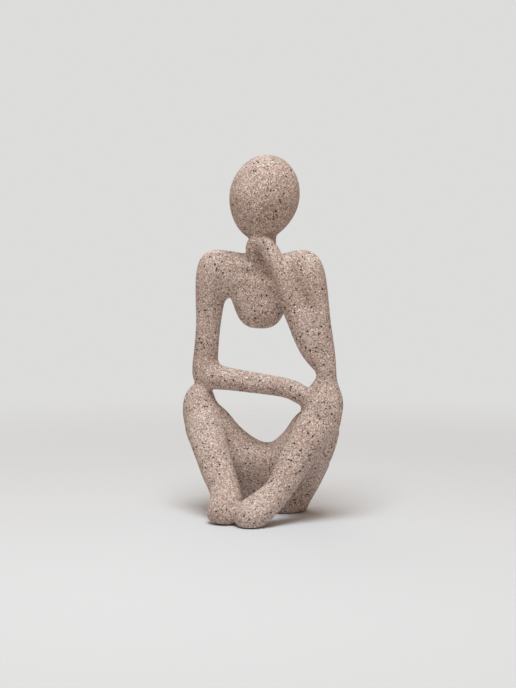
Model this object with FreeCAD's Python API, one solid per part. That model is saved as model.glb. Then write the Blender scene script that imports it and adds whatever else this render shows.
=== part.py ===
import FreeCAD, Part

import math
import os

# A seated thinker figure of cast sandstone resin, in millimetres.
# X runs to the figure's left, Y to its back and Z up. The origin is on the
# surface that the figure sits on, in the middle of its width and depth.
# The figure is cast in seven pieces, which dowels and bent wires hold together.

# Pads in shallow pockets under the seat and the feet
pad_thickness = 1.2
pad_proud = 0.4
pad_share = 0.84

# Seat and thighs
seat_back = 30.5
seat_width = 55.0
seat_depth = 38.0
hip_width = 95.0
hip_up = 33.0
lap_back = 20.0
lap_up = 34.0
lap_thickness = 35.0
thigh_out = 49.0
thigh_thickness = 40.5
thigh_depth = 31.0

# Knees, shins and feet
right_knee_out = 47.4
left_knee_out = 49.2
knee_back = 6.0
knee_up = 76.5
knee_thickness = 29.0
knee_rise = 15.0
shin_thickness = 24.6
right_shin_bow = 3.6
right_ankle_out = 8.0
left_ankle_out = 24.3
ankle_front = 26.5
ankle_up = 17.0
foot_width = 25.0
foot_height = 20.6
foot_up = 5.2
right_toe_out = 10.2
right_toe_front = 41.0
left_toe_out = 8.6
left_toe_front = 44.0

# Upper arms, each from the torso's edge to the elbow
upper_arm_thickness = 18.0
right_arm_out = 40.0
left_arm_out = 45.0
arm_top_up = 150.0
elbow_back = 7.5

# Right arm, whose elbow stands on the right knee and whose hand lies on the left one
right_elbow_out = 44.6
right_elbow_rise = 25.5
elbow_turn = 5.0
elbow_inset = 1.1
right_forearm_thickness = 14.6
right_wrist_in = 25.2
right_wrist_front = 6.5
right_wrist_rise = 20.0
right_hand_in = 9.9
right_hand_front = 6.0
right_hand_rise = 13.0
right_hand_arch = 1.2

# Left arm, which narrows to a waist above the left knee and folds up to the chin
left_elbow_out = 51.3
left_elbow_rise = 37.5
waist_out = 52.8
waist_rise = 28.0
waist_thickness = 14.6
left_forearm_thickness = 16.6
left_wrist_thickness = 13.2
forearm_middle_out = 30.4
forearm_middle_front = 1.7
forearm_middle_up = 153.0
forearm_turn_out = 23.0
forearm_turn_front = 4.6
forearm_turn_up = 177.5
left_wrist_out = 12.3
left_wrist_front = 5.4
left_wrist_drop = 4.2
knuckle_out = 6.2
hand_thickness = 11.0
hand_out = 0.6
hand_front = 1.0
hand_drop = 11.5

# Shoulders, chest and neck
middle_out = 1.0
shoulder_back = 6.0
shoulder_out = 33.4
shoulder_up = 177.5
shoulder_height = 38.0
shoulder_depth = 25.5
shoulder_dip_height = 33.0
chest_width = 52.0
chest_depth = 25.0
chest_up = 186.0
chest_length = 43.0
chest_lean = 2.0
neck_thickness = 19.5
neck_root_width = 33.0
neck_root_back = 8.0
neck_root_up = 179.5

# Head
head_diameter = 51.0
head_top = 30.5
head_bottom = 32.5
head_out = 3.9
head_back = 7.0
head_rise = 57.5
head_tilt_degrees = 11.0
head_nod_degrees = 8.0

# Steel dowels and reinforcing wires, set in adhesive
dowel_diameter = 4.0
neck_dowel_diameter = 6.0
dowel_chamfer = 0.5
wire_diameter = 3.0
wire_bend_radius = 12.0
wire_anchor = 18.0
glue_gap = 0.1
end_gap = 0.8

overrun = 150.0

# Shares of the way along an arm or a leg, and of its thickness in width and in
# depth, at each ring
arm_top_shares = (1.13, 1.05)
waist_shares = (1.00, 1.05)
right_upper_arm_shares = (
    (0.14, 1.04, 1.02),
    (0.37, 0.99, 1.00),
    (0.61, 1.00, 1.00),
    (0.82, 1.04, 1.00),
)
left_upper_arm_shares = (
    (0.14, 1.06, 1.02),
    (0.42, 1.03, 1.00),
    (0.72, 0.99, 1.00),
    (1.00, 0.92, 0.95),
)
right_forearm_shares = (
    (0.17, 1.27, 1.16),
    (0.30, 1.16, 1.13),
    (0.46, 1.11, 1.10),
    (0.65, 1.04, 1.06),
    (0.83, 1.00, 1.03),
    (1.00, 0.97, 1.00),
)
lower_forearm_shares = (
    (0.00, 0.80, 0.87),
    (0.16, 1.09, 1.00),
    (0.36, 1.14, 1.03),
    (0.58, 1.10, 1.00),
    (0.80, 1.05, 0.97),
    (1.00, 0.98, 0.94),
)
middle_forearm_shares = (
    (0.55, 1.06, 1.10),
    (1.00, 1.02, 1.06),
)
upper_forearm_shares = (
    (0.50, 1.03, 1.06),
    (1.00, 1.02, 1.02),
)
left_knee_shares = (
    (0.12, 0.58, 0.55),
    (0.36, 0.92, 0.69),
    (0.66, 1.12, 0.83),
    (1.00, 1.07, 0.86),
)
right_knee_shares = (
    (0.00, 0.67, 0.69),
    (0.42, 0.90, 0.84),
    (1.00, 0.98, 0.88),
)
left_shin_shares = (
    (0.18, 1.17, 1.02),
    (0.37, 1.02, 0.99),
    (0.56, 0.92, 0.96),
    (0.75, 0.85, 0.92),
    (0.92, 0.74, 0.87),
)
right_shin_shares = (
    (0.18, 1.16, 1.02),
    (0.37, 1.13, 0.99),
    (0.56, 1.03, 0.96),
    (0.75, 0.99, 0.92),
    (0.92, 0.89, 0.88),
)

# Shares of the right shin's bow to the side, at its rings
bow_shares = (0.45, 0.64, 0.80, 1.00, 0.50)
foot_shares = (
    (0.50, 1.05, 1.03),
    (1.00, 1.00, 1.00),
)

# Shares of the upper arm's width and of a quarter turn, at two rings round the elbow
elbow_start_shares = (1.19, 0.21)
elbow_corner_shares = (1.44, 0.57)

# Share of the way from the left elbow to the waist where the forearm starts,
# and where the upper arm has nearly narrowed to the waist
forearm_root_share = 0.40
narrow_share = 0.63
narrow_depth_share = 1.07

# Share of the way from the wrist to the hand at the right hand's middle
right_hand_share = 0.55

# Knuckles of the left hand, as shares of the wrist's and the hand's thickness
knuckle_shares = (0.91, 0.95)
fist_share = 1.09

# Shares of the way across, back and down from the knuckles to the fingers' end,
# and of the hand's thickness in width and in depth
hand_shares = (
    (0.75, 0.00, 0.04, 1.05, 1.08),
    (1.04, 0.00, 0.39, 1.00, 1.08),
    (1.00, 1.00, 1.00, 0.93, 1.05),
)

# Shares of the way out and up from the arm's top to the shoulder, of the quarter
# turn from level to upright, and of the shoulder's height and depth
right_shoulder_shares = (
    (1.19, 0.36, 0.78, 0.59, 0.82),
    (1.15, 0.70, 0.57, 0.82, 0.90),
    (1.05, 0.99, 0.36, 1.05, 0.96),
    (0.82, 1.03, 0.16, 0.99, 1.00),
    (0.55, 0.98, 0.05, 0.92, 1.00),
)
left_shoulder_shares = (
    (1.19, 0.36, 0.78, 0.59, 0.82),
    (1.15, 0.70, 0.57, 0.84, 0.90),
    (1.05, 1.00, 0.36, 1.08, 0.96),
    (0.83, 1.04, 0.16, 1.04, 1.00),
    (0.55, 0.96, 0.05, 0.88, 1.00),
)

# Shares of the chest's length, width and depth, from its top to its tip
chest_shares = (
    (0.00, 0.77, 0.72),
    (0.23, 1.04, 0.96),
    (0.46, 0.97, 1.00),
    (0.67, 0.83, 0.98),
    (0.84, 0.71, 0.94),
    (1.00, 0.58, 0.80),
)

# Shares of the way to the head's centre, and of the flare at the neck's root
neck_shares = (
    (0.00, 1.00),
    (0.15, 0.94),
    (0.24, 0.41),
    (0.35, 0.00),
    (0.47, 0.00),
    (0.62, 0.00),
)
neck_flare_depth_share = 0.10

# Shares of the way out, forward and up from the lap to the knee,
# and of the thigh's thickness and depth
thigh_shares = (
    (1.00, 1.00, 1.00, 0.62, 0.69),
    (0.92, 0.90, 0.82, 0.92, 0.86),
    (0.81, 0.75, 0.53, 1.00, 0.96),
    (0.59, 0.52, 0.26, 1.00, 1.02),
    (0.29, 0.20, 0.06, 0.91, 1.04),
)

# Shares of the hip's height, of the way from the seat's width to the hip's,
# and of the seat's depth
seat_shares = (
    (-0.12, -0.07, 0.96),
    (0.06, 0.00, 0.99),
    (0.36, 0.33, 1.00),
    (0.72, 0.75, 1.00),
    (1.00, 1.00, 0.96),
    (1.22, 1.15, 0.88),
    (1.36, 1.10, 0.72),
)

# Shares of the way between two places where a dowel or a wire starts and ends
neck_dowel_shares = (-0.05, 0.78)
elbow_dowel_shares = (0.28, 0.95)
knee_dowel_shares = (0.05, 1.10)
right_wire_end_share = 1.50
left_wire_end_share = 0.72
forearm_wire_start_share = 0.36
forearm_wire_end_share = 0.80

# A quarter of a circle as a curve of four poles, and the egg's blunter lower half
round_share = 0.5523
egg_side_share = 0.44
egg_tip_share = 0.56

# A ring has eight poles, set out so far that the smooth section has the ring's size.
sides = 8
fullness_share = 6 / (4 + 2 * math.cos(2 * math.pi / sides))
dome_rise_share = 0.45
dome_shares = (0.55, 0.14)

Vector = FreeCAD.Vector
X = Vector(1, 0, 0)
Y = Vector(0, 1, 0)
Z = Vector(0, 0, 1)
up_and_forward = Z - Y
down_and_back = Y - Z


# Limbs: smooth solids through rings

def between(start, end, share):
    return start + (end - start) * share


def square_to(direction, axis):
    return (direction - axis * direction.dot(axis)).normalize()


def ring(centre, width, depth, axis=None):
    """One station of a limb. Its axis is that of the path unless it is given."""
    return centre, width / 2, depth / 2, axis


def shared_ring(centre, thickness, shares):
    """A level ring on which two castings end, so that they meet flush."""
    width, depth = shares
    return ring(centre, thickness * width, thickness * depth, Z)


def stretch(start, end, thickness, shares):
    """Rings on the straight way from start to end."""
    return [
        ring(between(start, end, way), thickness * width, thickness * depth)
        for way, width, depth in shares
    ]


def dome(last, inner):
    """Two level rings that round off a limb beyond its last ring, to a small flat."""
    centre, wide, deep, axis = last
    outward = (centre - inner[0]).normalize()
    tip = centre + outward * (min(wide, deep) * dome_rise_share)
    return [(tip, wide * share, deep * share, axis) for share in dome_shares]


def path_directions(rings):
    """The way that the path runs at each ring, in the sense from first to last."""
    directions = []
    last = len(rings) - 1
    for i, station in enumerate(rings):
        ahead = rings[min(i + 1, last)][0]
        behind = rings[max(i - 1, 0)][0]
        way = (ahead - behind).normalize()
        axis = station[3]
        if axis:
            way = axis if axis.dot(way) > 0 else axis * -1
        directions.append(way)
    return directions


def limb(rings, across=Y, round_start=False, round_end=False):
    """A smooth closed solid through rings that stand square to its path.

    Each ring's depth lies along across, and its width square to that. The surface's
    own seam starts each ring at its width, clear of the bores.
    An end is a round dome or a flat face.
    """
    stations = list(zip(rings, path_directions(rings)))
    if round_start:
        extra = dome(rings[0], rings[1])
        stations = [(station, stations[0][1]) for station in extra[::-1]] + stations
    if round_end:
        extra = dome(rings[-1], rings[-2])
        stations = stations + [(station, stations[-1][1]) for station in extra]
    columns = [[] for _ in range(sides)]
    for (centre, wide, deep, _), way in stations:
        deep_way = square_to(across, way)
        wide_way = way.cross(deep_way)
        for side in range(sides):
            turn = 2 * math.pi * side / sides
            columns[side].append(
                centre
                + wide_way * (wide * fullness_share * math.cos(turn))
                + deep_way * (deep * fullness_share * math.sin(turn))
            )
    return solid_from_poles(columns)


def solid_from_poles(columns):
    """A cubic surface, closed around its rings, with a flat face on each end."""
    spans = len(columns[0]) - 3
    surface = Part.BSplineSurface()
    surface.buildFromPolesMultsKnots(
        columns,
        [1] * (sides + 1),
        [4] + [1] * (spans - 1) + [4],
        list(range(sides + 1)),
        list(range(spans + 1)),
        True,
        False,
        3,
        3,
    )
    faces = [surface.toShape()]
    for end in (0, spans):
        faces.append(Part.Face(Part.Wire([surface.vIso(end).toShape()])))
    shell = Part.makeShell(faces)
    shell.sewShape()
    solid = Part.Solid(shell)
    if solid.Volume < 0:
        solid.reverse()
    return solid


# Places that the pieces share. Side is 1 on the figure's left and -1 on its right.

def arm_out(side):
    return left_arm_out if side > 0 else right_arm_out


def arm_top(side):
    return Vector(side * arm_out(side), shoulder_back, arm_top_up)


def arm_top_ring(side):
    return shared_ring(arm_top(side), upper_arm_thickness, arm_top_shares)


def knee_out(side):
    return left_knee_out if side > 0 else right_knee_out


def knee(side):
    return Vector(side * knee_out(side), knee_back, knee_up)


def knee_top(side):
    return Vector(side * knee_out(side), elbow_back, knee_up + knee_rise)


def ankle(side):
    out = left_ankle_out if side > 0 else right_ankle_out
    return Vector(side * out, -ankle_front, ankle_up)


def toes(side):
    if side > 0:
        return Vector(left_toe_out, -left_toe_front, foot_up)
    return Vector(-right_toe_out, -right_toe_front, foot_up)


def thigh_place(side, shares):
    out, forward, up = shares[:3]
    return Vector(
        side * thigh_out * out,
        lap_back + (elbow_back - lap_back) * forward,
        lap_up + (knee_up - lap_up) * up,
    )


right_elbow = Vector(-right_elbow_out, elbow_back, knee_up + right_elbow_rise)
right_wrist = knee(1) + Vector(-right_wrist_in, -right_wrist_front, right_wrist_rise)
right_hand = knee(1) + Vector(-right_hand_in, -right_hand_front, right_hand_rise)
left_elbow = Vector(left_elbow_out, elbow_back, knee_up + left_elbow_rise)
waist = Vector(waist_out, elbow_back, knee_up + waist_rise)
waist_ring = shared_ring(waist, waist_thickness, waist_shares)
forearm_root = between(left_elbow, waist, forearm_root_share)
forearm_middle = Vector(forearm_middle_out, -forearm_middle_front, forearm_middle_up)
forearm_turn = Vector(forearm_turn_out, -forearm_turn_front, forearm_turn_up)
neck_root = Vector(middle_out, neck_root_back, neck_root_up)
head_centre = Vector(head_out, head_back, shoulder_up + head_rise)
chin_up = head_centre.z - head_bottom
left_wrist = Vector(left_wrist_out, -left_wrist_front, chin_up - left_wrist_drop)
knuckles = Vector(knuckle_out, -left_wrist_front, chin_up)
hand_tip = Vector(-hand_out, -hand_front, chin_up - hand_drop)


# Castings

def head():
    """An egg, blunter below, that leans to the figure's left with the chin held forward."""
    radius = head_diameter / 2
    crown = Part.BezierCurve()
    crown.setPoles([
        Vector(0, 0, head_top),
        Vector(radius * round_share, 0, head_top),
        Vector(radius, 0, head_top * round_share),
        Vector(radius, 0, 0),
    ])
    jaw = Part.BezierCurve()
    jaw.setPoles([
        Vector(radius, 0, 0),
        Vector(radius, 0, -head_bottom * egg_side_share),
        Vector(radius * egg_tip_share, 0, -head_bottom),
        Vector(0, 0, -head_bottom),
    ])
    axis = Part.LineSegment(Vector(0, 0, -head_bottom), Vector(0, 0, head_top))
    outline = Part.Wire([crown.toShape(), jaw.toShape(), axis.toShape()])
    egg = Part.Face(outline).revolve(Vector(0, 0, 0), Z, 360)
    egg.rotate(Vector(0, 0, 0), X, -head_nod_degrees)
    egg.rotate(Vector(0, 0, 0), Y, head_tilt_degrees)
    egg.translate(head_centre)
    return egg


def shoulder_rings(side):
    """Rings that turn from the arm's top to the level shoulder."""
    rings = [arm_top_ring(side)]
    shares = left_shoulder_shares if side > 0 else right_shoulder_shares
    for out, up, turn, height, depth in shares:
        lean = (arm_out(side) - right_arm_out) * (1 - up)
        centre = Vector(
            side * (shoulder_out * out + lean),
            shoulder_back,
            arm_top_up + (shoulder_up - arm_top_up) * up,
        )
        angle = math.pi / 2 * turn
        axis = Vector(math.cos(angle), 0, -side * math.sin(angle))
        rings.append(ring(centre, shoulder_height * height, shoulder_depth * depth, axis))
    return rings


def shoulders():
    dip = Vector(0, shoulder_back, shoulder_up - (shoulder_height - shoulder_dip_height) / 2)
    middle = [ring(dip, shoulder_dip_height, shoulder_depth)]
    return limb(shoulder_rings(-1) + middle + shoulder_rings(1)[::-1])


def chest():
    """A shield that narrows to a round tip and ends above an open waist."""
    top = Vector(middle_out, shoulder_back + chest_lean / 2, chest_up)
    tip = Vector(middle_out, shoulder_back - chest_lean / 2, chest_up - chest_length)
    rings = [
        ring(between(top, tip, down), chest_width * width, chest_depth * depth)
        for down, width, depth in chest_shares
    ]
    return limb(rings, round_end=True)


def neck():
    rings = []
    for way, flare in neck_shares:
        width = neck_thickness + (neck_root_width - neck_thickness) * flare
        depth = neck_thickness * (1 + neck_flare_depth_share * flare)
        rings.append(ring(between(neck_root, head_centre, way), width, depth))
    return limb(rings)


def torso():
    return shoulders().fuse(chest()).fuse(neck())


def elbow_ring(centre, shares):
    width, turn = shares
    angle = math.pi / 2 * turn
    axis = Vector(math.sin(angle), 0, -math.cos(angle))
    return ring(centre, upper_arm_thickness * width, upper_arm_thickness, axis)


def right_arm():
    """Down from the shoulder, round the elbow, and across to the left knee."""
    over_elbow = right_elbow + Z * elbow_turn
    hand_middle = between(right_wrist, right_hand, right_hand_share) + Z * right_hand_arch
    return limb(
        [arm_top_ring(-1)]
        + stretch(arm_top(-1), over_elbow, upper_arm_thickness, right_upper_arm_shares)
        + [
            elbow_ring(over_elbow, elbow_start_shares),
            elbow_ring(right_elbow + X * elbow_inset, elbow_corner_shares),
        ]
        + stretch(right_elbow, right_wrist, right_forearm_thickness, right_forearm_shares)
        + [
            ring(hand_middle, right_forearm_thickness, right_forearm_thickness),
            ring(right_hand, right_forearm_thickness, right_forearm_thickness),
        ],
        round_end=True,
    )


def left_upper_arm():
    narrow = between(left_elbow, waist, narrow_share)
    return limb(
        [arm_top_ring(1)]
        + stretch(arm_top(1), left_elbow, upper_arm_thickness, left_upper_arm_shares)
        + [ring(narrow, waist_thickness, waist_thickness * narrow_depth_share), waist_ring]
    )


def left_forearm():
    width, depth = knuckle_shares
    return limb(
        stretch(forearm_root, forearm_middle, left_forearm_thickness, lower_forearm_shares)
        + stretch(forearm_middle, forearm_turn, left_wrist_thickness, middle_forearm_shares)
        + stretch(forearm_turn, left_wrist, left_wrist_thickness, upper_forearm_shares)
        + [ring(knuckles, left_wrist_thickness * width, left_wrist_thickness * depth)],
        round_end=True,
    )


def left_hand():
    """A hand that curls over at the knuckles, with its fingers bent down."""
    rings = [ring(knuckles, hand_thickness * fist_share, hand_thickness * fist_share)]
    for across, back, down, width, depth in hand_shares:
        centre = Vector(
            knuckles.x + (hand_tip.x - knuckles.x) * across,
            knuckles.y + (hand_tip.y - knuckles.y) * back,
            knuckles.z + (hand_tip.z - knuckles.z) * down,
        )
        rings.append(ring(centre, hand_thickness * width, hand_thickness * depth))
    return limb(rings, round_start=True, round_end=True)


def left_arm():
    """The upper arm down to its waist, the forearm up beside it, and the curled hand."""
    return left_upper_arm().fuse(left_forearm()).fuse(left_hand())


def foot_rings(side):
    return [
        ring(between(ankle(side), toes(side), way), foot_width * width, foot_height * height)
        for way, width, height in foot_shares
    ]


def right_shin():
    """A shin that bows out to the side."""
    rings = stretch(knee(-1), ankle(-1), shin_thickness, right_shin_shares)
    return [
        (centre - X * (right_shin_bow * bow), wide, deep, axis)
        for (centre, wide, deep, axis), bow in zip(rings, bow_shares)
    ]


def left_leg():
    return limb(
        [waist_ring]
        + stretch(waist, knee(1), knee_thickness, left_knee_shares)
        + stretch(knee(1), ankle(1), shin_thickness, left_shin_shares)
        + foot_rings(1),
        across=up_and_forward,
        round_end=True,
    )


def right_leg():
    return limb(
        stretch(knee_top(-1), knee(-1), knee_thickness, right_knee_shares)
        + right_shin()
        + foot_rings(-1),
        across=down_and_back,
        round_start=True,
        round_end=True,
    )


def thigh_rings(side):
    return [
        ring(thigh_place(side, shares), thigh_thickness * shares[3], thigh_depth * shares[4])
        for shares in thigh_shares
    ]


def thighs():
    """Both thighs in one sweep from knee to knee, under the open lap."""
    lap = [ring(Vector(0, lap_back, lap_up), lap_thickness, thigh_depth, X)]
    return limb(thigh_rings(-1) + lap + thigh_rings(1)[::-1])


def seat():
    """The seat widens from where it rests to the hips."""
    rest = Vector(0, seat_back, 0)
    hip = Vector(0, lap_back, hip_up)
    rings = [
        ring(
            between(rest, hip, up),
            seat_width + (hip_width - seat_width) * widening,
            seat_depth * depth,
            Z,
        )
        for up, widening, depth in seat_shares
    ]
    return limb(rings, round_end=True)


def seat_and_thighs():
    return thighs().fuse(seat())


def without(shape, others):
    """What is left of the shape outside the others."""
    return shape.cut([other.copy() for other in others])


def above_pads(shape):
    """The shape with a flat underside, which the pads hold just off the surface."""
    block = Part.makeBox(2 * overrun, 2 * overrun, overrun)
    block.translate(Vector(-overrun, -overrun, pad_proud - overrun))
    return shape.cut(block)


# Steel inside

def bent_path(points, extra):
    """A path through the points, rounded at each bend and run on at both ends."""
    points = list(points)
    points[0] = points[0] + (points[0] - points[1]).normalize() * extra
    points[-1] = points[-1] + (points[-1] - points[-2]).normalize() * extra
    edges = []
    start = points[0]
    for before, corner, after in zip(points, points[1:], points[2:]):
        back = (before - corner).normalize()
        on = (after - corner).normalize()
        half_angle = back.getAngle(on) / 2
        reach = wire_bend_radius / math.tan(half_angle)
        inward = (back + on).normalize()
        crest = corner + inward * (wire_bend_radius / math.sin(half_angle) - wire_bend_radius)
        edges.append(Part.LineSegment(start, corner + back * reach).toShape())
        edges.append(Part.Arc(corner + back * reach, crest, corner + on * reach).toShape())
        start = corner + on * reach
    edges.append(Part.LineSegment(start, points[-1]).toShape())
    return Part.Wire(edges)


def rod(points, diameter, extra):
    path = bent_path(points, extra)
    first = path.Edges[0]
    start = first.valueAt(first.FirstParameter)
    along = first.tangentAt(first.FirstParameter)
    section = Part.Face(Part.Wire(Part.makeCircle(diameter / 2, start, along)))
    return path.makePipe(section)


def wire(points):
    return rod(points, wire_diameter, 0)


def wire_bore(points):
    return rod(points, wire_diameter + 2 * glue_gap, end_gap)


def dowel(ends, diameter):
    """A straight pin with a chamfer at both ends."""
    start, end = ends
    way = (end - start).normalize()
    length = (end - start).Length
    pin = Part.makeCylinder(diameter / 2, length, start, way)
    rims = [edge for edge in pin.Edges if isinstance(edge.Curve, Part.Circle)]
    return pin.makeChamfer(dowel_chamfer, rims)


def dowel_bore(ends, diameter):
    start, end = ends
    way = (end - start).normalize()
    length = (end - start).Length + 2 * end_gap
    return Part.makeCylinder(diameter / 2 + glue_gap, length, start - way * end_gap, way)


def dowel_ends(start, end, shares):
    return between(start, end, shares[0]), between(start, end, shares[1])


def knee_dowel_ends(side):
    return dowel_ends(knee(side), thigh_place(side, thigh_shares[2]), knee_dowel_shares)


def anchored(side, next_place):
    """The top of an arm's wire, held in the torso above the arm."""
    up = (arm_top(side) - next_place).normalize()
    return arm_top(side) + up * wire_anchor


dowels = {
    "neck_dowel": (
        dowel_ends(neck_root, head_centre, neck_dowel_shares),
        neck_dowel_diameter,
    ),
    "right_elbow_dowel": (
        dowel_ends(knee(-1), right_elbow, elbow_dowel_shares),
        dowel_diameter,
    ),
    "right_knee_dowel": (knee_dowel_ends(-1), dowel_diameter),
    "left_knee_dowel": (knee_dowel_ends(1), dowel_diameter),
}
wires = {
    "right_arm_wire": (
        anchored(-1, right_elbow),
        right_elbow,
        right_wrist,
        between(right_wrist, right_hand, right_wire_end_share),
    ),
    "left_arm_wire": (
        anchored(1, waist),
        waist,
        between(waist, knee(1), left_wire_end_share),
    ),
    "left_forearm_wire": (
        between(forearm_root, forearm_middle, forearm_wire_start_share),
        forearm_middle,
        forearm_turn,
        left_wrist,
        between(left_wrist, knuckles, forearm_wire_end_share),
    ),
}


# Pads

def underside(shape):
    """The casting's flat face at the height where the pads hold it."""
    flat = [face for face in shape.Faces if isinstance(face.Surface, Part.Plane)]
    return min(flat, key=lambda face: face.CenterOfMass.z)


def pad_and_pocket(shape):
    """A pad with the outline of the underside, drawn in, and the pocket that it fills."""
    face = underside(shape)
    centre = face.CenterOfMass
    outline = face.scaled(pad_share, centre)
    narrowest = min(outline.BoundBox.XLength, outline.BoundBox.YLength)
    inner = outline.scaled(1 - 2 * glue_gap / narrowest, centre)
    drop = Z * -pad_proud
    outline.translate(drop)
    inner.translate(drop)
    return inner.extrude(Z * pad_thickness), outline.extrude(Z * pad_thickness)


# Assembly: where two castings meet, the one named first keeps its shape

raw_torso = torso()
raw_left_leg = left_leg()
raw_right_leg = right_leg()
castings = {}
castings["head"] = head()
castings["torso"] = without(raw_torso, [castings["head"]])
castings["left_leg"] = above_pads(raw_left_leg)
castings["right_leg"] = above_pads(without(raw_right_leg, [raw_left_leg]))
castings["seat_and_thighs"] = above_pads(
    without(seat_and_thighs(), [raw_left_leg, raw_right_leg])
)
castings["left_arm"] = without(left_arm(), [castings["head"], raw_torso, raw_left_leg])
castings["right_arm"] = without(
    right_arm(), [raw_right_leg, raw_left_leg, castings["seat_and_thighs"]]
)

parts = {}
for name, resting in (
    ("seat_pad", "seat_and_thighs"),
    ("right_foot_pad", "right_leg"),
    ("left_foot_pad", "left_leg"),
):
    parts[name], pocket = pad_and_pocket(castings[resting])
    castings[resting] = without(castings[resting], [pocket])
bores = [dowel_bore(ends, diameter) for ends, diameter in dowels.values()]
bores += [wire_bore(points) for points in wires.values()]
for name, casting in castings.items():
    parts[name] = without(casting, bores)
for name, (ends, diameter) in dowels.items():
    parts[name] = dowel(ends, diameter)
for name, points in wires.items():
    parts[name] = wire(points)

# The origin comes to the middle of the width and depth that the castings cover.

whole = FreeCAD.BoundBox()
for casting in castings.values():
    for point in casting.tessellate(glue_gap)[0]:
        whole.add(point)
to_middle = Vector(-whole.Center.x, -whole.Center.y, 0)

os.makedirs("parts", exist_ok=True)
for name, shape in parts.items():
    shape.translate(to_middle)
    shape.exportStep("parts/" + name + ".step")
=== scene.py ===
import math

import bpy
import numpy as np
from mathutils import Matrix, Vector, noise
from mathutils.bvhtree import BVHTree


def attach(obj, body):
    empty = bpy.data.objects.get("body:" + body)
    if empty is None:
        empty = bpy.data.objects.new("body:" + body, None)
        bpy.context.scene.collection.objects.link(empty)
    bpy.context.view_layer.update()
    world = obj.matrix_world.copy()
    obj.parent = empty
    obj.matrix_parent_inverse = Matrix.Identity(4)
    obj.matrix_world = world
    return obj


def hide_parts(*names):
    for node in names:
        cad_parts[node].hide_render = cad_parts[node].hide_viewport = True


# The finish of a seated figure of cast sandstone resin, in metres. The castings'
# outer faces are drawn as one skin, so that no joint shows, and the skin is then
# parted into one closed piece for each casting.

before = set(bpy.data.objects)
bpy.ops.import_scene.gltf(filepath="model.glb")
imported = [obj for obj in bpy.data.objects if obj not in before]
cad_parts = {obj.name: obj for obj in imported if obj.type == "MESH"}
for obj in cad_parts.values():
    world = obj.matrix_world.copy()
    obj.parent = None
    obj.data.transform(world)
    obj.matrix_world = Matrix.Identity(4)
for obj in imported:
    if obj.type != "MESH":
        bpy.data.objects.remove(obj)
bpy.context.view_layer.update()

castings = (
    "torso",
    "head",
    "left_arm",
    "right_arm",
    "seat_and_thighs",
    "left_leg",
    "right_leg",
)
steel_nodes = (
    "neck_dowel",
    "right_elbow_dowel",
    "right_knee_dowel",
    "left_knee_dowel",
    "right_arm_wire",
    "left_arm_wire",
    "left_forearm_wire",
)
felt_nodes = ("seat_pad", "right_foot_pad", "left_foot_pad")

# Skin
voxel = 0.0008
even_passes = 6
seam_passes = 18
seam_reach = 0.005
smoothing_share = 0.5
passes_between_normals = 10
last_passes = 2
ripple_size = 0.009
ripple_depth = 0.00006

# Votes of a face's neighbours on its casting, and the weight of its own choice
vote_rounds = 8
own_vote = 0.5

# Caps inside the resin: where along a straight way it is tested, and the area that
# a way costs for each metre that it lies outside
chord_shares = (0.2, 0.5, 0.8)
cost_of_leaving = 10.0

# Places where a casting's face is moved a little: the casting, the two ends of the
# place, how far it reaches round them and the move
sculpt_steps = 12
sculpted = {
    "inner right knee": (
        "right_leg", (-0.0390, 0.0095, 0.0860), (-0.0390, 0.0095, 0.0860),
        0.014, (-0.0022, -0.0006, 0.0),
    ),
    "outer left knee": (
        "left_leg", (0.0595, 0.0040, 0.0680), (0.0595, 0.0040, 0.0680),
        0.012, (0.0016, 0.0006, -0.0006),
    ),
    "thigh behind the left knee": (
        "seat_and_thighs", (0.0573, 0.0130, 0.0660), (0.0565, 0.0160, 0.0700),
        0.011, (0.0006, 0.0003, 0.0),
    ),
    "left hip": (
        "seat_and_thighs", (0.0490, 0.0111, 0.0395), (0.0420, 0.0250, 0.0425),
        0.013, (0.0011, 0.0007, 0.0),
    ),
    "right hip": (
        "seat_and_thighs", (-0.0520, 0.0190, 0.0380), (-0.0428, 0.0275, 0.0425),
        0.013, (-0.0008, 0.0011, 0.0),
    ),
    "thigh under the left knee": (
        "seat_and_thighs", (0.0570, 0.0060, 0.0560), (0.0570, 0.0060, 0.0560),
        0.012, (-0.0009, 0.0, 0.0),
    ),
    "lap": (
        "seat_and_thighs", (-0.0010, 0.0030, 0.0420), (-0.0010, 0.0030, 0.0420),
        0.016, (0.0, 0.0015, 0.0),
    ),
    "inner left arm": (
        "left_arm", (0.0290, 0.0060, 0.1250), (0.0290, 0.0060, 0.1250),
        0.024, (-0.0016, 0.0, -0.0004),
    ),
    "beside the folded forearm": (
        "torso", (0.0280, -0.0050, 0.1800), (0.0400, -0.0025, 0.1560),
        0.007, (0.0, 0.0016, 0.0),
    ),
    "chest beside the forearm": (
        "torso", (0.0065, -0.0045, 0.1825), (0.0065, -0.0045, 0.1825),
        0.014, (0.0, 0.0055, 0.0),
    ),
    "chest under the fingers": (
        "torso", (-0.0065, -0.0010, 0.1860), (-0.0065, -0.0010, 0.1860),
        0.010, (0.0, -0.0040, 0.0),
    ),
}

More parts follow.
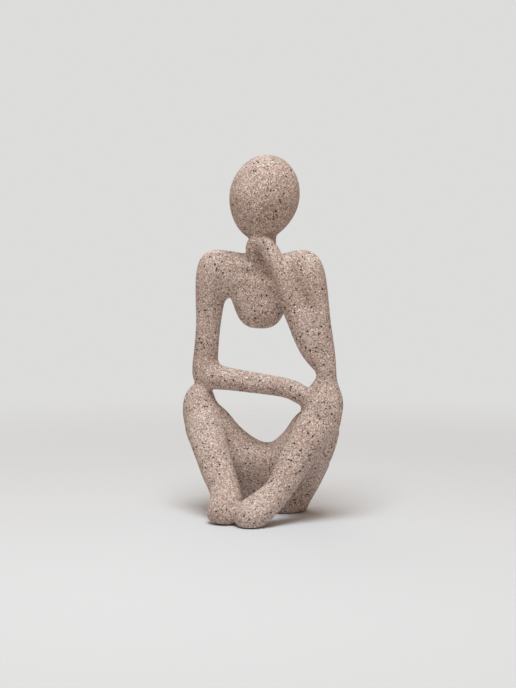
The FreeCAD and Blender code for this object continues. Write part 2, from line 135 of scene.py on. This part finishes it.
# Creases that the mould has filled: where each lies, how far it reaches and how
# many passes fill it
filled_creases = {
    "inner right elbow": ((-0.0345, 0.0060, 0.1110), 0.013, 260),
    "inner right elbow behind": ((-0.0360, 0.0130, 0.1110), 0.012, 220),
    "front of the right elbow": ((-0.0475, 0.0010, 0.0965), 0.009, 90),
    "back of the right elbow": ((-0.0520, 0.0130, 0.0955), 0.009, 160),
    "right knee over the thigh": ((-0.0350, 0.0070, 0.0780), 0.013, 300),
    "under the right hand": ((0.0350, -0.0010, 0.0845), 0.010, 300),
    "curled fingers on the shoulder": ((-0.0060, -0.0030, 0.1885), 0.010, 600),
    "outer left knee": ((0.0590, 0.0050, 0.0665), 0.014, 500),
    "outer left hip": ((0.0495, 0.0108, 0.0405), 0.012, 300),
    "lap between the shins": ((-0.0100, 0.0060, 0.0220), 0.018, 700),
    "back of the left knee": ((0.0500, 0.0190, 0.0770), 0.014, 260),
    "back of the right knee": ((-0.0500, 0.0190, 0.0780), 0.014, 260),
    "front of the feet": ((-0.0010, -0.0430, 0.0045), 0.014, 1000),
    "top of the feet": ((-0.0010, -0.0370, 0.0150), 0.012, 200),
}

# Camera: how far it stands round the object and looks down, its distance, its place
# to the right and up, and its lens
camera_azimuth = math.radians(23.0)
camera_down = math.radians(4.87)
camera_distance = 1.2538
camera_aside = -0.0002
camera_height = 0.2344
camera_lens = 90.16

# Lamps: how far each stands to the camera's right, beyond the object and up, with its
# width, its power and its colour
lamps = {
    "key": ((-0.08, -0.52, 1.55), 0.8, 24.5, (0.90, 0.965, 1.0)),
    "fill": ((-0.1, -1.6, 0.2), 1.2, 1.6, (1.0, 0.90, 0.80)),
    "back": ((-0.4, 1.4, 0.9), 1.2, 4.0, (1.0, 0.97, 0.94)),
}
world_colour = (1.0, 0.75, 0.555, 1.0)
world_strength = 0.40
lamp_aim = Vector((0, 0, 0.13))

# Floor and background
floor_colour = (0.62, 0.64, 0.665, 1.0)
floor_roughness = 0.9
floor_specular = 0.1
floor_corners = 96
background_colour = (0.72, 0.718, 0.712, 1.0)
fade_start = 0.2
fade_end = 0.8


# Skin of the castings

def corners_and_faces(nodes):
    """The points and the faces of several nodes in one list, and each face's node."""
    points, faces, owners = [], [], []
    for owner, name in enumerate(nodes):
        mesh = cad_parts[name].data
        first = len(points)
        points += [vertex.co.copy() for vertex in mesh.vertices]
        faces += [[first + i for i in face.vertices] for face in mesh.polygons]
        owners += [owner] * len(mesh.polygons)
    return points, faces, np.array(owners)


def new_object(name, content):
    """An object of a mesh, a light or a camera, in the scene."""
    made = bpy.data.objects.new(name, content)
    bpy.context.scene.collection.objects.link(made)
    return made


def remeshed(points, faces):
    """One outer surface round the given faces, of even small quads."""
    mesh = bpy.data.meshes.new("rough_skin")
    mesh.from_pydata(points, [], faces)
    rough = new_object("rough_skin", mesh)
    remesh = rough.modifiers.new("remesh", "REMESH")
    remesh.mode = "VOXEL"
    remesh.voxel_size = voxel
    seen = rough.evaluated_get(bpy.context.evaluated_depsgraph_get())
    skin = bpy.data.meshes.new_from_object(seen)
    bpy.data.objects.remove(rough)
    return skin


def vertex_array(mesh):
    """Each vertex's place."""
    places = np.zeros(len(mesh.vertices) * 3)
    mesh.vertices.foreach_get("co", places)
    return places.reshape(-1, 3)


def edge_array(mesh):
    """The two ends of each edge."""
    ends = np.zeros(len(mesh.edges) * 2, int)
    mesh.edges.foreach_get("vertices", ends)
    return ends.reshape(-1, 2)


def face_array(mesh):
    """The four corners of each face."""
    corners = np.zeros(len(mesh.loops), int)
    mesh.loops.foreach_get("vertex_index", corners)
    return corners.reshape(-1, 4)


def neighbour_mean(values, edges, counts):
    """The mean of each vertex's neighbours, column by column."""
    columns = []
    for column in values.T:
        total = np.bincount(edges[:, 0], column[edges[:, 1]], len(values))
        total += np.bincount(edges[:, 1], column[edges[:, 0]], len(values))
        columns.append(total / counts)
    return np.stack(columns, 1)


def outward(places, faces):
    """Each vertex's way out of the skin."""
    across = places[faces[:, 2]] - places[faces[:, 0]]
    along = places[faces[:, 3]] - places[faces[:, 1]]
    normals = np.cross(across, along)
    sums = []
    for column in normals.T:
        sums.append(np.bincount(faces.ravel(), np.repeat(column, 4), len(places)))
    return np.stack(sums, 1)


def nearest_owners(places, tree, owners):
    """The casting whose own face lies nearest to each place."""
    return np.array([owners[tree.find_nearest(place)[2]] for place in places.tolist()])


def seam_closeness(vertex_owners, edges, counts):
    """1 at the seams between castings, and down to 0 at their reach."""
    crossing = vertex_owners[edges[:, 0]] != vertex_owners[edges[:, 1]]
    close = np.zeros(len(vertex_owners))
    close[edges[crossing].ravel()] = 1.0
    step = voxel / seam_reach
    for _ in range(int(1 / step)):
        spread = close.copy()
        np.maximum.at(spread, edges[:, 0], close[edges[:, 1]] - step)
        np.maximum.at(spread, edges[:, 1], close[edges[:, 0]] - step)
        close = spread
    return neighbour_mean(close[:, None], edges, counts)[:, 0]


def soften(places, edges, counts, wanted):
    """Evens the skin, with as many passes as each vertex wants."""
    for i in range(int(wanted.max()) + 1):
        share = smoothing_share * np.clip(wanted - i, 0, 1)
        live = edges[(share[edges] > 0).any(1)]
        places += (neighbour_mean(places, live, counts) - places) * share[:, None]


def sculpt(places, vertex_owners):
    """Moves the named places of single castings, most in their middle."""
    for casting, start, end, reach, move in sculpted.values():
        path = np.linspace(start, end, sculpt_steps)
        away = np.min([np.linalg.norm(places - step, axis=1) for step in path], 0) / reach
        weight = np.clip(1 - away**2, 0, 1) ** 2
        weight[vertex_owners != castings.index(casting)] = 0
        places += weight[:, None] * np.array(move)


def fill_creases(places, edges, faces, counts):
    """Evens the named places too, but only where that moves the skin outward."""
    wanted = np.zeros(len(places))
    for centre, reach, passes in filled_creases.values():
        away = np.linalg.norm(places - np.array(centre), axis=1) / reach
        wanted = np.maximum(wanted, passes * np.clip(1 - away**2, 0, 1))
    edges = edges[(wanted[edges] > 0).any(1)]
    used = np.unique(edges)
    faces = faces[np.isin(faces, used).all(1)]
    edges, faces = np.searchsorted(used, edges), np.searchsorted(used, faces)
    part, wanted, counts = places[used], wanted[used], counts[used]
    for i in range(int(wanted.max()) + 1):
        if i % passes_between_normals == 0:
            normals = outward(part, faces)
        share = smoothing_share * np.clip(wanted - i, 0, 1)
        moves = neighbour_mean(part, edges, counts) - part
        share[(moves * normals).sum(1) < 0] = 0
        part += moves * share[:, None]
    places[used] = part


def smooth_skin(mesh, tree, owners):
    """Takes the steps out of the skin, and rounds it where castings meet."""
    places = vertex_array(mesh)
    edges = edge_array(mesh)
    counts = np.bincount(edges.ravel(), minlength=len(places))
    vertex_owners = nearest_owners(places, tree, owners)
    close = seam_closeness(vertex_owners, edges, counts)
    sculpt(places, vertex_owners)
    soften(places, edges, counts, even_passes + seam_passes * close)
    fill_creases(places, edges, face_array(mesh), counts)
    soften(places, edges, counts, np.full(len(places), last_passes))
    mesh.vertices.foreach_set("co", places.ravel())
    mesh.update()


def ripple(mesh):
    """The slight unevenness of a casting's face."""
    for vertex, normal in zip(mesh.vertices, mesh.vertex_normals):
        vertex.co += normal.vector * (noise.noise(vertex.co / ripple_size) * ripple_depth)
    mesh.update()


def face_owners(mesh, tree, owners):
    """Each face's casting. A face that stands alone among others' takes theirs."""
    found = nearest_owners(np.array([face.center for face in mesh.polygons]), tree, owners)
    edge_faces = {}
    for face in mesh.polygons:
        for key in face.edge_keys:
            edge_faces.setdefault(key, []).append(face.index)
    pairs = np.array([pair for pair in edge_faces.values() if len(pair) == 2])
    for _ in range(vote_rounds):
        votes = np.zeros((len(found), len(castings)))
        votes[np.arange(len(found)), found] = own_vote
        np.add.at(votes, (pairs[:, 0], found[pairs[:, 1]]), 1)
        np.add.at(votes, (pairs[:, 1], found[pairs[:, 0]]), 1)
        found = votes.argmax(1)
    return found


def open_rims(faces):
    """The open rims of the faces as rings of corners, in the order of a cap's corners."""
    sides = {(face[i - 1], face[i]) for face in faces for i in range(len(face))}
    following = {}
    for face in faces:
        for i in range(len(face)):
            if (face[i], face[i - 1]) not in sides:
                following.setdefault(face[i], []).append(face[i - 1])
    rings = []
    while following:
        ring = [next(iter(following))]
        while ring:
            here = following[ring[-1]].pop()
            if not following[ring[-1]]:
                del following[ring[-1]]
            if here not in ring:
                ring.append(here)
                continue
            at = ring.index(here)
            rings.append(ring[at:])
            ring = ring[: at + 1] if at else []
    return rings


def way_outside(places, tree):
    """How far the straight way between each two places of a ring leaves the resin."""
    corners = [Vector(place) for place in places]
    out = np.zeros((len(corners), len(corners)))
    for i, start in enumerate(corners):
        for j in range(i + 2, len(corners)):
            for share in chord_shares:
                place = start.lerp(corners[j], share)
                nearest, normal, _, _ = tree.find_nearest(place)
                out[i, j] += max((place - nearest).dot(normal), 0)
    return out


def cap(ring, points, tree, made):
    """The triangles of the least area that close a ring inside the resin. The piece on
    the ring's other side takes the ones already made, turned round."""
    key = frozenset(ring)
    if key in made:
        return [triangle[::-1] for triangle in made[key]]
    places = points[ring]
    last = len(ring) - 1
    cost = way_outside(places, tree) * cost_of_leaving
    cost[0, last] = 0
    choice = np.zeros((last + 1, last + 1), int)
    for gap in range(2, last + 1):
        for i in range(last + 1 - gap):
            j = i + gap
            sweep = np.cross(places[i + 1 : j] - places[i], places[j] - places[i])
            totals = cost[i, i + 1 : j] + cost[i + 1 : j, j] + np.sqrt((sweep**2).sum(1))
            choice[i, j] = i + 1 + totals.argmin()
            cost[i, j] += totals.min()
    triangles = []
    spans = [(0, last)]
    while spans:
        i, j = spans.pop()
        if j - i > 1:
            k = choice[i, j]
            triangles.append([ring[i], ring[k], ring[j]])
            spans += [(i, k), (k, j)]
    made[key] = triangles
    return triangles


def closed_piece(name, skin, tree, chosen, made):
    """The skin's chosen faces as a closed piece, capped where the next one starts."""
    outer = [list(skin.polygons[i].vertices) for i in chosen]
    points = vertex_array(skin)
    caps = [face for ring in open_rims(outer) for face in cap(ring, points, tree, made)]
    used = sorted({corner for face in outer for corner in face})
    renumbered = {old: new for new, old in enumerate(used)}
    mesh = bpy.data.meshes.new(name)
    mesh.from_pydata(
        points[used].tolist(),
        [],
        [[renumbered[corner] for corner in face] for face in outer + caps],
    )
    normals = []
    for face in mesh.polygons:
        if face.index < len(outer):
            normals += [skin.vertex_normals[used[corner]].vector for corner in face.vertices]
        else:
            normals += [face.normal] * len(face.vertices)
    mesh.polygons.foreach_set("use_smooth", [True] * len(mesh.polygons))
    mesh.normals_split_custom_set(normals)
    return new_object(name, mesh)


def casting_pieces(material):
    """The whole skin, parted into one piece for each casting."""
    points, faces, owners = corners_and_faces(castings)
    tree = BVHTree.FromPolygons(points, faces)
    skin = remeshed(points, faces)
    smooth_skin(skin, tree, owners)
    ripple(skin)
    found = face_owners(skin, tree, owners)
    skin_tree = BVHTree.FromPolygons(vertex_array(skin).tolist(), face_array(skin).tolist())
    made = {}
    for owner, name in enumerate(castings):
        chosen = np.flatnonzero(found == owner).tolist()
        piece = closed_piece(name + "_skin", skin, skin_tree, chosen, made)
        piece.data.materials.append(material)
        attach(piece, "root")
        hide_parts(name)


# Materials

def new_material(name):
    """A material, its node tree and its main shader."""
    material = bpy.data.materials.new(name)
    material.use_nodes = True
    return material, material.node_tree, material.node_tree.nodes["Principled BSDF"]


def fill_inputs(tree, node, inputs):
    """Links or sets each named or numbered input of a node."""
    for name, value in inputs.items():
        if isinstance(value, bpy.types.NodeSocket):
            tree.links.new(value, node.inputs[name])
        else:
            node.inputs[name].default_value = value


def add_node(tree, kind, inputs=None, **settings):
    """A node with its settings and its inputs."""
    node = tree.nodes.new("ShaderNode" + kind)
    for name, value in settings.items():
        setattr(node, name, value)
    fill_inputs(tree, node, inputs or {})
    return node


def mix_colours(tree, share, first, second):
    """The first colour where the share is 0 and the second where it is 1."""
    mix = add_node(tree, "Mix", {0: share, 6: first, 7: second}, data_type="RGBA")
    return mix.outputs[2]


def multiply_colours(tree, first, second):
    """Each part of the first colour times the same part of the second."""
    inputs = {0: 1.0, 6: first, 7: second}
    product = add_node(tree, "Mix", inputs, data_type="RGBA", blend_type="MULTIPLY")
    return product.outputs[2]


def ramp(tree, value, low, high):
    """0 where the value is low or under, 1 where it is high or over."""
    mapped = add_node(tree, "MapRange", {"Value": value, "From Min": low, "From Max": high})
    return mapped.outputs["Result"]


def spread_between(tree, value, low, high):
    """A value between 0 and 1 spread between low and high."""
    mapped = add_node(tree, "MapRange", {"Value": value, "To Min": low, "To Max": high})
    return mapped.outputs["Result"]


def multiply(tree, first, second):
    """The product of a value and a second one, or of a value and a number."""
    product = add_node(tree, "Math", {0: first, 1: second}, operation="MULTIPLY")
    return product.outputs[0]


def noise_node(tree, place, scale, detail, distortion=0.0):
    """Noise of so many waves to the metre."""
    inputs = {"Vector": place, "Scale": scale, "Detail": detail, "Distortion": distortion}
    return add_node(tree, "TexNoise", inputs)


def cell_draws(tree, place, size):
    """Cells of a size, and three random numbers for each cell."""
    inputs = {"Vector": place, "Scale": 1 / size}
    cells = add_node(tree, "TexVoronoi", inputs, feature="F1")
    draws = add_node(tree, "SeparateColor", {"Color": cells.outputs["Color"]})
    return cells, draws


def finish_shader(tree, shader, look, roughness, height, strength, distance):
    """Gives a shader its colour, its roughness and its relief."""
    inputs = {"Height": height, "Strength": strength, "Distance": distance}
    normal = add_node(tree, "Bump", inputs).outputs["Normal"]
    fill_inputs(tree, shader, {"Base Color": look, "Roughness": roughness, "Normal": normal})


def colour(red, green, blue):
    """A colour written as a picture shows it, from 0 to 255, as the shader takes it."""
    parts = []
    for value in (red, green, blue):
        value /= 255
        parts.append(value / 12.92 if value <= 0.04045 else ((value + 0.055) / 1.055) ** 2.4)
    return (*parts, 1.0)


# Ground of the resin: two colours, in soft clouds
ground_colours = ((172, 152, 143), (188, 170, 162))
cloud_scale = 45.0
cloud_detail = 3.0
cloud_range = (0.35, 0.65)

# How far the grain's places waver, and how quickly
grain_waver = 0.00018
waver_scale = 1400.0
waver_detail = 1.0

# Packed sand: size in metres, and the light it gives back at its darkest and palest
sand = ((0.00054, 0.52, 1.54), (0.00036, 0.74, 1.28))
sand_warmth = {"Red": 0.0, "Green": 0.05, "Blue": 0.10}

# Loose grains in the resin: size of the place of each in metres, the share of the
# places that hold one, how much of its place a grain fills, and its two colours
grains = (
    ("cream", 0.00088, 0.18, 1.00, (230, 218, 206), (253, 248, 242)),
    ("brown", 0.00080, 0.16, 0.95, (108, 82, 68), (136, 108, 92)),
    ("dark", 0.00096, 0.13, 1.00, (40, 30, 25), (74, 55, 46)),
    ("rust", 0.00130, 0.026, 0.95, (126, 54, 36), (176, 98, 62)),
    ("black", 0.00178, 0.058, 0.95, (7, 6, 8), (22, 19, 20)),
    ("yellow", 0.00140, 0.004, 0.85, (172, 148, 70), (192, 172, 96)),
)
grain_seed_step = 0.37
grain_choice_width = 0.0001
grain_rim = 0.5
grain_core = 0.42
grain_cover = 0.95

# Face of the resin: dullness, and the relief of its pores and of its coarser sand
resin_roughness = (0.72, 0.92)
resin_specular = 0.25
pore_scale = 1500.0
pore_detail = 2.0
sand_relief = 0.5
resin_bump_strength = 0.4
resin_bump_distance = 0.0001


def sand_layer(tree, place, size, darkest, palest):
    """Packed sand of one size: its tint, and a random height for each grain."""
    _, draws = cell_draws(tree, place, size)
    shade = spread_between(tree, draws.outputs["Red"], darkest, palest)
    tint = add_node(tree, "CombineColor")
    for part, warmth in sand_warmth.items():
        own = spread_between(tree, draws.outputs["Green"], 1 - warmth, 1 + warmth)
        tree.links.new(multiply(tree, shade, own), tint.inputs[part])
    return tint.outputs[0], draws.outputs["Blue"]


def grain_layer(tree, place, seed, size, density, fill):
    """The grains of one kind: where they are, and a random number for each."""
    moved = add_node(tree, "Mapping", {"Vector": place, "Location": (seed, -seed, seed / 2)})
    cells, draws = cell_draws(tree, moved.outputs[0], size)
    lowest = 1 - density
    chosen = ramp(tree, draws.outputs["Red"], lowest, lowest + grain_choice_width)
    inside = ramp(tree, cells.outputs["Distance"], grain_rim * fill, grain_core * fill)
    return multiply(tree, chosen, inside), draws.outputs["Green"]


def wavering_place(tree, place):
    """The place moved a little to and fro, so that no grain has straight sides."""
    waver = noise_node(tree, place, waver_scale, waver_detail)
    inputs = {0: waver.outputs["Color"], 1: (grain_waver,) * 3, 2: place}
    return add_node(tree, "VectorMath", inputs, operation="MULTIPLY_ADD").outputs[0]


def ground_colour(tree, place):
    """The resin's ground, in clouds of two colours."""
    clouds = noise_node(tree, place, cloud_scale, cloud_detail)
    share = ramp(tree, clouds.outputs["Fac"], *cloud_range)
    return mix_colours(tree, share, colour(*ground_colours[0]), colour(*ground_colours[1]))


def sandstone_material():
    """Pinkish resin full of sand: fine mixed grain, loose chips, and larger clouds."""
    material, tree, shader = new_material("sandstone_resin")
    place = add_node(tree, "TexCoord").outputs["Object"]
    grain_place = wavering_place(tree, place)
    look = ground_colour(tree, place)
    heights = []
    for size, darkest, palest in sand:
        tint, height = sand_layer(tree, grain_place, size, darkest, palest)
        look = multiply_colours(tree, look, tint)
        heights.append(height)
    for number, (_, size, density, fill, darker, paler) in enumerate(grains, 1):
        seed = grain_seed_step * number
        where, draw = grain_layer(tree, grain_place, seed, size, density, fill)
        tint = mix_colours(tree, draw, colour(*darker), colour(*paler))
        look = mix_colours(tree, multiply(tree, where, grain_cover), look, tint)

    pores = noise_node(tree, place, pore_scale, pore_detail).outputs["Fac"]
    roughness = spread_between(tree, pores, *resin_roughness)
    relief = {0: pores, 1: multiply(tree, heights[0], sand_relief)}
    height = add_node(tree, "Math", relief, operation="ADD").outputs[0]
    finish_shader(
        tree, shader, look, roughness, height, resin_bump_strength, resin_bump_distance
    )
    shader.inputs["Specular IOR Level"].default_value = resin_specular
    return material


# Drawn steel: two greys in patches, and fine upright lines
steel_colours = ((150, 150, 150), (188, 188, 186))
patch_scale = 180.0
patch_detail = 2.0
patch_range = (0.4, 0.62)
line_scale = 3000.0
line_detail = 3.0
line_stretch = (1.0, 1.0, 0.08)
steel_roughness = (0.25, 0.5)
steel_bump_strength = 0.2
steel_bump_distance = 0.00003


def steel_material():
    """Drawn steel rod: fine lines, slightly dull, with a few darker patches."""
    material, tree, shader = new_material("brushed_steel")
    place = add_node(tree, "TexCoord").outputs["Object"]
    stretched = add_node(tree, "Mapping", {"Vector": place, "Scale": line_stretch})
    lines = noise_node(tree, stretched.outputs[0], line_scale, line_detail).outputs["Fac"]
    patches = noise_node(tree, place, patch_scale, patch_detail)
    share = ramp(tree, patches.outputs["Fac"], *patch_range)
    look = mix_colours(tree, share, colour(*steel_colours[0]), colour(*steel_colours[1]))
    roughness = spread_between(tree, lines, *steel_roughness)
    finish_shader(
        tree, shader, look, roughness, lines, steel_bump_strength, steel_bump_distance
    )
    shader.inputs["Metallic"].default_value = 1.0
    return material


# Pressed felt: the fibres' two colours, and lumps over them
fibre_colours = ((22, 21, 20), (48, 46, 44))
fibre_scale = 2600.0
fibre_detail = 4.0
fibre_distortion = 2.5
lump_colour = (31, 30, 29)
lump_scale = 350.0
lump_detail = 2.0
lump_range = (0.45, 0.7)
lump_cover = 0.4
felt_roughness = 0.95
felt_sheen = 0.3
felt_bump_strength = 0.8
felt_bump_distance = 0.0002


def felt_material():
    """Pressed dark felt: short tangled fibres and small lumps."""
    material, tree, shader = new_material("felt")
    place = add_node(tree, "TexCoord").outputs["Object"]
    fibres = noise_node(tree, place, fibre_scale, fibre_detail, fibre_distortion)
    height = fibres.outputs["Fac"]
    lumps = noise_node(tree, place, lump_scale, lump_detail)
    share = multiply(tree, ramp(tree, lumps.outputs["Fac"], *lump_range), lump_cover)
    look = mix_colours(tree, height, colour(*fibre_colours[0]), colour(*fibre_colours[1]))
    look = mix_colours(tree, share, look, colour(*lump_colour))
    finish_shader(
        tree, shader, look, felt_roughness, height, felt_bump_strength, felt_bump_distance
    )
    shader.inputs["Sheen Weight"].default_value = felt_sheen
    return material


def dress(names, material):
    """Gives the solids of the named nodes their material."""
    for name in names:
        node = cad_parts[name]
        if not node.material_slots:
            node.data.materials.append(material)
        for slot in node.material_slots:
            slot.material = material


# Floor, light and camera

def floor_material():
    """A plain pale floor that fades into the background far from the object."""
    material, tree, shader = new_material("floor")
    shader.inputs["Base Color"].default_value = floor_colour
    shader.inputs["Roughness"].default_value = floor_roughness
    shader.inputs["Specular IOR Level"].default_value = floor_specular
    place = add_node(tree, "TexCoord").outputs["Object"]
    away = add_node(tree, "VectorMath", {0: place}, operation="LENGTH").outputs["Value"]
    reach = {"Value": away, "From Min": fade_start, "From Max": fade_end}
    fade = add_node(tree, "MapRange", reach, interpolation_type="SMOOTHSTEP")
    clear = add_node(tree, "BsdfTransparent")
    shares = {0: fade.outputs["Result"], 1: shader.outputs[0], 2: clear.outputs[0]}
    blend = add_node(tree, "MixShader", shares)
    tree.links.new(blend.outputs[0], tree.nodes["Material Output"].inputs["Surface"])
    return material


def make_floor():
    """A round floor, as wide as its material can be seen."""
    bpy.ops.mesh.primitive_circle_add(
        vertices=floor_corners, radius=fade_end, fill_type="NGON"
    )
    floor = bpy.context.object
    floor.name = "floor"
    floor.data.materials.append(floor_material())


def camera_axes():
    """The level ways to the camera's right and forward."""
    right = Vector((math.cos(camera_azimuth), math.sin(camera_azimuth), 0))
    forward = Vector((-math.sin(camera_azimuth), math.cos(camera_azimuth), 0))
    return right, forward


def make_lamps():
    """Square lamps, each turned towards the object."""
    right, forward = camera_axes()
    for name, ((aside, ahead, up), width, power, tint) in lamps.items():
        light = bpy.data.lights.new(name, "AREA")
        light.size = width
        light.energy = power
        light.color = tint
        lamp = new_object(name, light)
        lamp.location = right * aside + forward * ahead + Vector((0, 0, up))
        aim = lamp_aim - lamp.location
        lamp.rotation_euler = aim.to_track_quat("-Z", "Y").to_euler()


def make_world():
    """Even warm light, with a pale background where the camera or a reflection sees it."""
    world = bpy.data.worlds.new("studio")
    bpy.context.scene.world = world
    world.use_nodes = True
    tree = world.node_tree
    ambient = tree.nodes["Background"]
    ambient.inputs["Color"].default_value = world_colour
    ambient.inputs["Strength"].default_value = world_strength
    seen = add_node(tree, "Background", {"Color": background_colour, "Strength": 1.0})
    rays = add_node(tree, "LightPath").outputs
    kinds = {0: rays["Is Camera Ray"], 1: rays["Is Glossy Ray"]}
    direct = add_node(tree, "Math", kinds, operation="MAXIMUM").outputs[0]
    shares = {0: direct, 1: ambient.outputs[0], 2: seen.outputs[0]}
    pick = add_node(tree, "MixShader", shares)
    tree.links.new(pick.outputs[0], tree.nodes["World Output"].inputs["Surface"])


def make_camera():
    """The camera of the photo's view."""
    right, forward = camera_axes()
    lens = bpy.data.cameras.new("camera")
    lens.lens = camera_lens
    camera = new_object("camera", lens)
    camera.location = (
        right * camera_aside - forward * camera_distance + Vector((0, 0, camera_height))
    )
    camera.rotation_euler = (math.pi / 2 - camera_down, 0, camera_azimuth)
    bpy.context.scene.camera = camera


casting_pieces(sandstone_material())
dress(steel_nodes, steel_material())
dress(felt_nodes, felt_material())
make_floor()
make_lamps()
make_world()
make_camera()
bpy.context.scene.view_settings.view_transform = "Standard"
